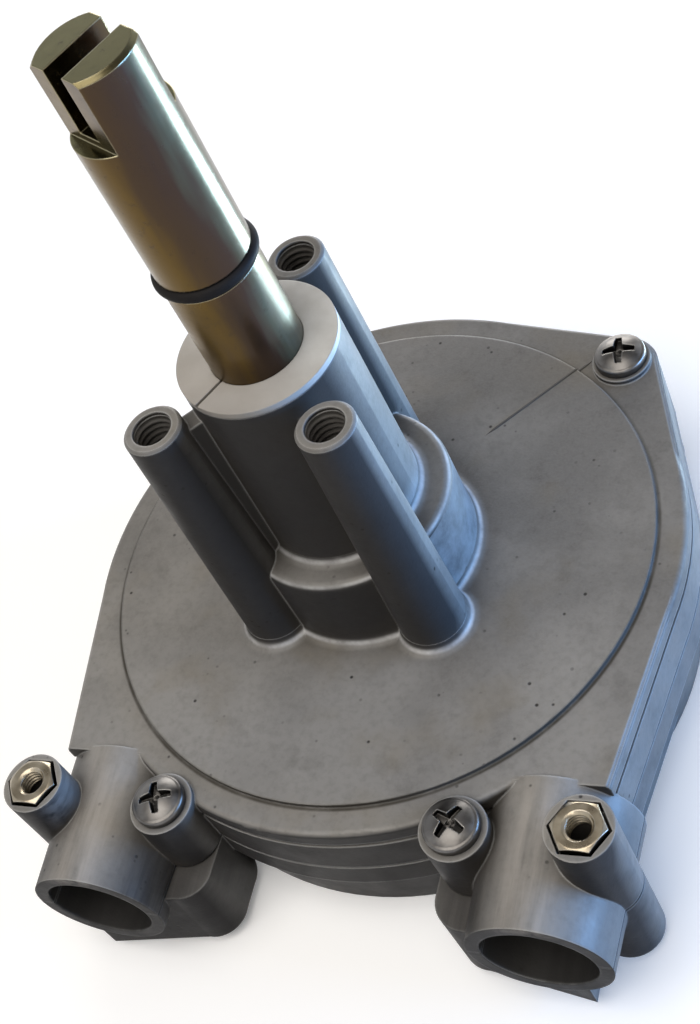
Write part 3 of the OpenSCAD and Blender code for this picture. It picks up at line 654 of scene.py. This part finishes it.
def cast_clouds(tree, coords, clouds, light, dark):
    """The first layer: clouds between the dark and the light tone, with painted light towards the front."""
    front_light = spread(tree, axes(tree, coords)["Y"], *LIT_FRONT)
    return blend(tree, spread(tree, maths(tree, "ADD", clouds, front_light), 0.35, 0.68), dark, light)


print("pits lie about", round(1 / PIT_CELLS / MM), "mm apart")

# %% [markdown]
# ## The two castings
# Front and rear half come from two moulds, and the rear one is the darker. Two materials could be built one
# after the other, but both castings have aged alike. So one function takes the tones as values and is called
# twice. Each layer is a share and a colour, and a loop blends the layers over each other.

# %% Castings
# Painted shade on the castings' upright sides and on the outlets' low sides.
PAINTED_SHADE = (0.026, 0.025, 0.026)
# A painted highlight on the hub's foot, shoulder and collar.
HIGHLIGHT_TONE = (0.62, 0.62, 0.62)
TAN = (0.190, 0.160, 0.110)
# A painted highlight on the outlets' crests.
CREST_HIGHLIGHT = (0.40, 0.375, 0.35)
# A painted shadow in the step around the plateau.
STEP_SHADOW = (0.036, 0.031, 0.022)
# Painted shade inside the outlets.
BORE_SHADE = (0.022, 0.021, 0.020)
PIT = (0.03, 0.028, 0.026)
BARE_EDGE = (0.55, 0.55, 0.54)
NO_HEIGHT = (0.0, 0.0, 0.0)


def cast_finish(name, light, dark, grime_and_shade):
    """Die-cast alloy between a light and a dark tone, with grimy smudges and painted shade in the corners.
    """
    material, tree, shader, coords = new_finish(name, metallic=0.05, roughness=0.42)
    clouds = noise(tree, coords, 34, 4)
    smudges = noise(tree, coords, 120, 6, 0.65)
    mottle = noise(tree, coords, 620, 3, 0.6)
    grain = noise(tree, coords, 1600, 2)
    tan_stains = noise(tree, coords, 48, 3)
    pits = casting_pits(tree, coords)
    side_shade = shaded_sides(tree, coords)
    outlet_shade, crest = outlet_painted_light(tree, coords)
    ring = step_shadow_ring(tree, coords, smudges)
    rounded, edges = soft_edges(tree, 0.0008)
    layers = [
        (spread(tree, smudges, 0.54, 0.78, 0.0, 0.4), grime_and_shade),
        (spread(tree, mottle, 0.45, 0.72, 0.0, 0.2), grime_and_shade),
        (spread(tree, grain, 0.35, 0.7, 0.0, 0.2), light),
        (spread(tree, tan_stains, 0.54, 0.74, 0.0, 0.38), TAN),
        # The next five layers paint light and shade: shade on the upright sides and on the outlets' low
        # sides, a highlight on the outlets' crests, a shadow in the step and shade inside the outlets.
        (times(tree, side_shade, 0.9), PAINTED_SHADE),
        (outlet_shade, PAINTED_SHADE),
        (times(tree, crest, 0.55), CREST_HIGHLIGHT),
        (ring, STEP_SHADOW),
        (times(tree, shaded_bores(tree, coords), 0.85), BORE_SHADE),
        (pits, PIT),
    ]
    tone = cast_clouds(tree, coords, clouds, light, dark)
    for share, colour in layers:
        tone = blend(tree, share, tone, colour)
    # Painted shade in the corners, found by Ambient Occlusion.
    open_air = spread(tree, crevices(tree, 0.010), 0.25, 0.85)
    tone = blend(tree, open_air, grime_and_shade, tone)
    # Painted highlights on the hub, broken up by the smudges.
    rubbed = spread(tree, smudges, 0.35, 0.60, 0.75, 0.25)
    tone = blend(tree, times(tree, fillet_highlights(tree, coords), rubbed), tone, HIGHLIGHT_TONE)
    # Where painted shade or shadow lies, the edges stay dull.
    shade_mask = maths(tree, "MAXIMUM", outlet_shade, ring)
    bright_edges = times(tree, edges, spread(tree, shade_mask, 0.0, 0.8, 0.5, 0.08))
    height = blend(tree, pits, blend(tree, 0.35, grain, clouds), NO_HEIGHT)
    feed(tree, shader, {
        "Base Color": blend(tree, bright_edges, tone, BARE_EDGE),
        "Roughness": spread(tree, smudges, 0.3, 0.72, 0.36, 0.58),
        "Specular IOR Level": spread(tree, side_shade, 0.0, 1.0, 0.28, 0.08),
        "Normal": relief(tree, height, 0.35, 0.00016, rounded),
    })
    return material


front_cast = cast_finish(
    "front_casting", light=(0.250, 0.242, 0.228), dark=(0.155, 0.150, 0.142), grime_and_shade=(0.066, 0.060, 0.053)
)
rear_cast = cast_finish(
    "rear_casting", light=(0.185, 0.181, 0.174), dark=(0.118, 0.116, 0.112), grime_and_shade=(0.055, 0.051, 0.047)
)
print("nodes per casting:", len(front_cast.node_tree.nodes), len(rear_cast.node_tree.nodes))

# %% [markdown]
# ## Yellow zinc plating
# The shaft is plated steel. Its thin clear film changes in thickness, so its colour runs from gold over
# brown and violet to a greenish grey, in bands that follow the shaft. The bands also hold painted
# reflections: a dark band and a pale sheen, placed where the camera's view sees them. The shader's Thin Film
# could give such colours, but they would change with the view and be hard to steer. Here the angle around
# the axis, shifted a little by noise that is stretched along the shaft, drives a colour ramp whose ends
# match.

# %% Colours around the shaft
# Film colours, with a painted dark reflection band and a painted pale sheen in the middle of the ramp.
PLATING_AND_REFLECTIONS = [
    (0.00, (0.095, 0.060, 0.022)),
    (0.11, (0.124, 0.082, 0.022)),
    (0.25, (0.104, 0.063, 0.014)),
    (0.33, (0.060, 0.038, 0.021)),
    (0.40, (0.050, 0.033, 0.026)),
    (0.455, (0.072, 0.082, 0.062)),
    (0.51, (0.140, 0.145, 0.115)),
    (0.62, (0.130, 0.090, 0.034)),
    (0.80, (0.070, 0.043, 0.025)),
    (1.00, (0.095, 0.060, 0.022)),
]
BAND_DRIFT = 0.07


def ramp(tree, value, stops):
    """Colour ramp through a list of (place, colour)."""
    node = add(tree, "ShaderNodeValToRGB", {"Fac": value})
    points = node.color_ramp.elements
    while len(points) < len(stops):
        points.new(0.5)
    for point, (place, colour) in zip(points, stops):
        point.position = place
        point.color = (*colour, 1)
    return node.outputs["Color"]


def film_and_reflection_bands(tree, coords, place):
    """The angle around the shaft as a share of a turn, shifted by the drift and wrapped back to 0 to 1."""
    drift = noise(tree, coords, 130, 3, 0.6, (1.0, 1.0, 0.15))
    angle = maths(tree, "ARCTAN2", place["Y"], place["X"])
    turn = spread(tree, angle, -math.pi, math.pi)
    shift = spread(tree, drift, 0.25, 0.75, -BAND_DRIFT, BAND_DRIFT)
    bands = maths(tree, "ADD", turn, shift)
    return add(tree, "ShaderNodeMath", {0: bands, 1: 1.0, 2: 0.0}, operation="WRAP").outputs["Value"]


print("plating colours:", len(PLATING_AND_REFLECTIONS))

# %% [markdown]
# ## Shaft
# The plated shaft was turned on a lathe, and the lines from turning still show under the film. Below the
# sealing ring, where the shaft runs in the bush, the film is worn to a satin. Separate materials could show
# the worn part, but they would meet in a hard line. So the height sets the roughness, and a noise stretched
# around the shaft gives the fine lines.

# %% Shaft plating
TIP_GREEN = (0.165, 0.152, 0.072)
BROWN_SPOT = (0.05, 0.036, 0.025)
GOLD_EDGE = (0.62, 0.56, 0.38)
PLATING_ROUGHNESS = 0.22
SATIN_BELOW = 0.136
SATIN_FADE = 0.004
SATIN_ROUGHER = 0.14


def plated_finish(name, stops, roughness):
    """Iridescent plating with painted reflection bands, turned lines, spots and a satin foot."""
    material, tree, shader, coords = new_finish(name, metallic=1.0, roughness=roughness)
    place = axes(tree, coords)
    looks = axes(tree, surface_normal(tree))
    lines = noise(tree, coords, 900, 2, 0.5, (0.12, 0.12, 2.4))
    spots = noise(tree, coords, 420, 5, 0.7)
    rounded, edges = soft_edges(tree, 0.0004)
    tone = ramp(tree, film_and_reflection_bands(tree, coords, place), stops)
    tone = blend(tree, spread(tree, looks["Z"], 0.5, 0.9), tone, TIP_GREEN)
    tone = blend(tree, spread(tree, spots, 0.58, 0.72, 0.0, 0.5), tone, BROWN_SPOT)
    gloss = spread(tree, spots, 0.3, 0.7, roughness - 0.04, roughness + 0.07)
    satin = spread(tree, place["Z"], SATIN_BELOW, SATIN_BELOW - SATIN_FADE, 0.0, SATIN_ROUGHER)
    feed(tree, shader, {
        "Base Color": blend(tree, times(tree, edges, 0.6), tone, GOLD_EDGE),
        "Roughness": maths(tree, "ADD", gloss, satin),
        "Coat Weight": 0.15,
        "Coat Roughness": 0.14,
        "Normal": relief(tree, lines, 0.25, 0.00005, rounded),
    })
    return material


shaft_plating_and_reflections = plated_finish("shaft_plating_and_reflections", PLATING_AND_REFLECTIONS, PLATING_ROUGHNESS)
print("satin below", round(SATIN_BELOW / MM), "mm")

# %% [markdown]
# ## Small metal
# The screws are bright zinc, the nuts a pale yellow zinc, and both have painted shade in their recesses.
# Inside the case lie machined steel, bronze and a cast drum. Each could have a finish of its own, but they
# differ only in tone and gloss, so one function makes them all: clouds between two tones, fine scratches,
# painted shade in the corners and worn bright edges.

# %% Metal finishes
# Painted shade in corners and recesses.
CORNER_SHADE = (0.02, 0.018, 0.016)
METAL_EDGE = (0.75, 0.74, 0.70)


def metal_finish(name, light, dark, roughness, shade_from=0.2):
    """Plain metal with cloudy tone, fine scratches and painted shade in the corners."""
    material, tree, shader, coords = new_finish(name, metallic=1.0, roughness=roughness)
    clouds = noise(tree, coords, 260, 4)
    grain = noise(tree, coords, 2100, 2)
    rounded, edges = soft_edges(tree, 0.0003)
    # Painted shade in the corners, found by Ambient Occlusion.
    open_air = spread(tree, crevices(tree, 0.003), shade_from, 0.92)
    tone = blend(tree, spread(tree, clouds, 0.35, 0.65), dark, light)
    tone = blend(tree, open_air, CORNER_SHADE, tone)
    rubbed = times(tree, edges, times(tree, open_air, 0.5))
    feed(tree, shader, {
        "Base Color": blend(tree, rubbed, tone, METAL_EDGE),
        "Roughness": spread(tree, clouds, 0.3, 0.7, roughness - 0.05, roughness + 0.1),
        "Normal": relief(tree, grain, 0.2, 0.00004, rounded),
    })
    return material


# The screws' cross recesses get deeper painted shade.
screw_zinc = metal_finish("screw_zinc", (0.20, 0.193, 0.184), (0.12, 0.114, 0.108), 0.36, shade_from=0.45)
nut_zinc = metal_finish("nut_zinc", (0.46, 0.41, 0.32), (0.34, 0.29, 0.21), 0.30)
gear_steel = metal_finish("gear_steel", (0.42, 0.42, 0.43), (0.30, 0.30, 0.31), 0.33)
bearing_bronze = metal_finish("bearing_bronze", (0.48, 0.33, 0.15), (0.36, 0.23, 0.10), 0.36)
drum_cast = metal_finish("drum_cast", (0.40, 0.39, 0.37), (0.30, 0.29, 0.28), 0.45)
print("metals:", [m.name for m in (screw_zinc, nut_zinc, gear_steel, bearing_bronze, drum_cast)])

# %% [markdown]
# ## Plastic and rubber
# The bush is pale moulded plastic, soiled and with painted shade on its front-left side, and the sealing
# ring is black rubber with hardly any gloss. A plain colour would do from far off, but moulded surfaces have
# a faint grain and uneven tone that show close up, so one function gives them both, with painted shade in
# the corners. The gasket, the cable race and the dark seam share it.

# %% Moulded finishes
RUBBER_GLOSS = 0.12
# Soiling and painted shade on the bush's side turned from the light.
BUSH_SOIL_AND_SHADE = (0.26, 0.23, 0.20)
SOIL_AND_SHADE_ACROSS = (-0.012, 0.016, 0.0, 0.75)


def moulded_finish(name, light, dark, roughness, soil_and_shade=None):
    """Plastic or rubber with a faint mould grain, cloudy tone and painted shade in the corners, soiled and
    shaded towards one side if asked.
    """
    material, tree, shader, coords = new_finish(name, metallic=0.0, roughness=roughness)
    clouds = noise(tree, coords, 150, 4)
    grain = noise(tree, coords, 2600, 2)
    rounded, _ = soft_edges(tree, 0.0004)
    tone = blend(tree, spread(tree, clouds, 0.3, 0.7), dark, light)
    # Painted shade in the corners.
    tone = blend(tree, spread(tree, crevices(tree, 0.002), 0.2, 0.8), dark, tone)
    # Soiling and painted shade towards the side turned from the light.
    if soil_and_shade:
        along = vector(tree, "DOT_PRODUCT", coords, SHADED_SIDE)
        tone = blend(tree, spread(tree, along, *SOIL_AND_SHADE_ACROSS), tone, soil_and_shade)
    feed(tree, shader, {
        "Base Color": tone,
        "Roughness": spread(tree, clouds, 0.3, 0.7, roughness - 0.06, roughness + 0.06),
        "Normal": relief(tree, grain, 0.25, 0.00005, rounded),
    })
    return material


bush_plastic = moulded_finish("bush_plastic", (0.68, 0.675, 0.65), (0.55, 0.54, 0.51), 0.45, soil_and_shade=BUSH_SOIL_AND_SHADE)
ring_rubber = moulded_finish("ring_rubber", (0.016, 0.014, 0.013), (0.009, 0.008, 0.008), 0.62)
ring_rubber.node_tree.nodes["Principled BSDF"].inputs["Specular IOR Level"].default_value = RUBBER_GLOSS
seam_dark = moulded_finish("seam_dark", (0.07, 0.066, 0.06), (0.04, 0.037, 0.033), 0.6)
gasket_sheet = moulded_finish("gasket_sheet", (0.05, 0.05, 0.048), (0.03, 0.03, 0.03), 0.7)
guide_plastic = moulded_finish("guide_plastic", (0.035, 0.035, 0.036), (0.022, 0.022, 0.023), 0.5)
print("moulded:", [m.name for m in (bush_plastic, ring_rubber, seam_dark, gasket_sheet, guide_plastic)])

# %% [markdown]
# ## Who wears what
# Every solid and every new piece now gets its finish. Materials can be assigned one by one in the viewport,
# but a list shows at a glance which pieces share a finish, and a forgotten piece is soon seen.

# %% Finishes put on
FINISHES = {
    front_cast: ["front_cover"],
    rear_cast: ["rear_housing"],
    shaft_plating_and_reflections: ["steering_shaft"],
    bush_plastic: ["hub_bush", "lower_bush"],
    ring_rubber: ["shaft_o_ring"],
    gasket_sheet: ["joint_gasket"],
    guide_plastic: ["cable_guide"],
    drum_cast: ["cable_drum"],
    bearing_bronze: ["upper_washer", "pilot_bush", "drum_bush", "drum_washer"],
    gear_steel: [
        "sun_gear", "planet_gear_1", "planet_gear_2", "planet_gear_3",
        "ring_gear", "planet_pins", "carrier_plate",
    ],
    screw_zinc: ["cover_screws"],
    nut_zinc: ["outlet_nuts"],
}


def wear(thing, material):
    """Gives an object one material."""
    thing.data.materials.clear()
    thing.data.materials.append(material)


for material, names in FINISHES.items():
    for name in names:
        wear(nodes[name], material)
for piece, material in [(screws, screw_zinc), (nuts, nut_zinc), (threads, front_cast), (seam, seam_dark)]:
    wear(piece, material)
print("finished nodes:", sum(len(n) for n in FINISHES.values()))

# %% [markdown]
# ## Studio floor
# The helm stands on a pale floor that curves up to a wall all round, open above. A large plane would do for
# one view, but its edge would show in others. So a profile of floor, bend and wall is carried around the
# upright axis, like the pieces above, and looks the same from every side.

# %% Floor
FLOOR_RADIUS = 2.2
WALL_HEIGHT = 1.6
BEND = 0.6
FLOOR_DROP = 0.0004


def studio_bowl():
    """A profile of floor, quarter-circle bend and wall, carried around the Z axis, in metres."""
    flat = np.array([[0.0, 0.0], [0.5, 0.0], [FLOOR_RADIUS - BEND, 0.0]])
    arc = np.linspace(0, math.pi / 2, 16)[1:]
    bend_radius = FLOOR_RADIUS - BEND + BEND * np.sin(arc)
    bend = np.stack([bend_radius, BEND * (1 - np.cos(arc))], axis=-1)
    wall = np.array([[FLOOR_RADIUS, WALL_HEIGHT]])
    profile = np.concatenate([flat, bend, wall])
    angle = full_turn(96)
    x = profile[:, :1] * np.cos(angle)
    y = profile[:, :1] * np.sin(angle)
    z = np.broadcast_to(profile[:, 1:] - FLOOR_DROP, x.shape)
    return np.stack([x, y, z], axis=-1)


bowl = studio_bowl()
floor_mesh = bpy.data.meshes.new("studio_floor")
floor_mesh.from_pydata(bowl.reshape(-1, 3).tolist(), [], grid_faces(*bowl.shape[:2]).tolist())
floor_mesh.shade_smooth()
floor = bpy.data.objects.new("studio_floor", floor_mesh)
bpy.context.scene.collection.objects.link(floor)
print("floor faces:", len(floor_mesh.polygons))

# %% [markdown]
# ## Floor paint
# The photo's ground is white. More light on a white floor would bleach the helm from below. So rays from the
# camera, and those that metal mirrors, see the floor paler than the light that it throws back onto the helm,
# and the sides of the hub stay as dark as in the photo. The Light Path node tells these rays apart.

# %% Floor paint
FLOOR_THROWS = (0.30, 0.30, 0.30)
FLOOR_SEEN = (0.93, 0.93, 0.93)
GLOW_OUTWARD = (0.5, 1.7, 0.2, 0.7)
floor_paint, floor_tree, floor_shader, floor_coords = new_finish("floor_paint", metallic=0.0, roughness=0.9)
path = add(floor_tree, "ShaderNodeLightPath").outputs
mirrored = maths(floor_tree, "MAXIMUM", path["Is Glossy Ray"], path["Is Transmission Ray"])
seen = maths(floor_tree, "MAXIMUM", path["Is Camera Ray"], mirrored)
far = vector(floor_tree, "LENGTH", floor_coords)
feed(floor_tree, floor_shader, {
    "Base Color": blend(floor_tree, seen, FLOOR_THROWS, FLOOR_SEEN),
    "Specular IOR Level": 0.0,
    "Emission Color": (1.0, 1.0, 1.0),
    "Emission Strength": times(floor_tree, seen, spread(floor_tree, far, *GLOW_OUTWARD)),
})
wear(floor, floor_paint)
print("the floor throws back", FLOOR_THROWS[0], "and is seen as", FLOOR_SEEN[0])

# %% [markdown]
# ## Lamps
# A wide, warm softbox hangs above, and a low blue one stands at the right, as the window did when the photo
# was taken. A weak lamp behind keeps the far side readable. A sky picture could light all this at once, but
# area lamps can be set one by one until each highlight lies where the photo has it. A strip light lies on
# the floor, where the round shaft mirrors it as one long streak, and the camera doesn't see it.

# %% Lamps
LAMPS_AIM = Vector((0, 0, 0.04))
STREAK_TURN = math.radians(36)


def softbox(name, place, size, watts, colour, height=None):
    """A lamp that faces the middle of the case, square, or a rectangle where a height is given."""
    data = bpy.data.lights.new(name, "AREA")
    data.size = size
    if height:
        data.shape = "RECTANGLE"
        data.size_y = height
    data.energy = watts
    data.color = colour
    lamp = bpy.data.objects.new(name, data)
    lamp.location = place
    lamp.rotation_euler = (LAMPS_AIM - Vector(place)).to_track_quat("-Z", "Y").to_euler()
    bpy.context.scene.collection.objects.link(lamp)
    return lamp


softbox("top_softbox", (-0.08, -0.40, 1.10), size=1.0, watts=11.2, colour=(1.0, 0.955, 0.90))
softbox("back_softbox", (-0.25, 0.95, 0.16), size=0.6, watts=6.0, colour=(1.0, 0.97, 0.93))
softbox("window_softbox", (0.74, 0.12, 0.10), size=0.5, watts=9.0, colour=(0.20, 0.48, 1.0), height=0.2)
streak = softbox(
    "streak_strip", (0.155, 0.178, 0.003), size=0.18, watts=1.2, colour=(0.66, 0.87, 1.0), height=0.09
)
streak.rotation_euler = (math.pi, 0, STREAK_TURN)
streak.visible_camera = False

# %% [markdown]
# ## Sky
# A room's walls and ceiling send some light into every shadow. They could be modelled, but a faint even sky
# does the same for an object in the open. The view transform is Standard, so that a colour renders as it is
# written.

# %% Sky
SKY_COLOUR = (1.0, 0.97, 0.94)
SKY_STRENGTH = 0.28
world = bpy.data.worlds.new("studio_sky")
world.use_nodes = True
sky = world.node_tree.nodes["Background"]
feed(world.node_tree, sky, {"Color": SKY_COLOUR, "Strength": SKY_STRENGTH})
bpy.context.scene.world = world
bpy.context.scene.view_settings.view_transform = "Standard"
print("sky strength:", SKY_STRENGTH)
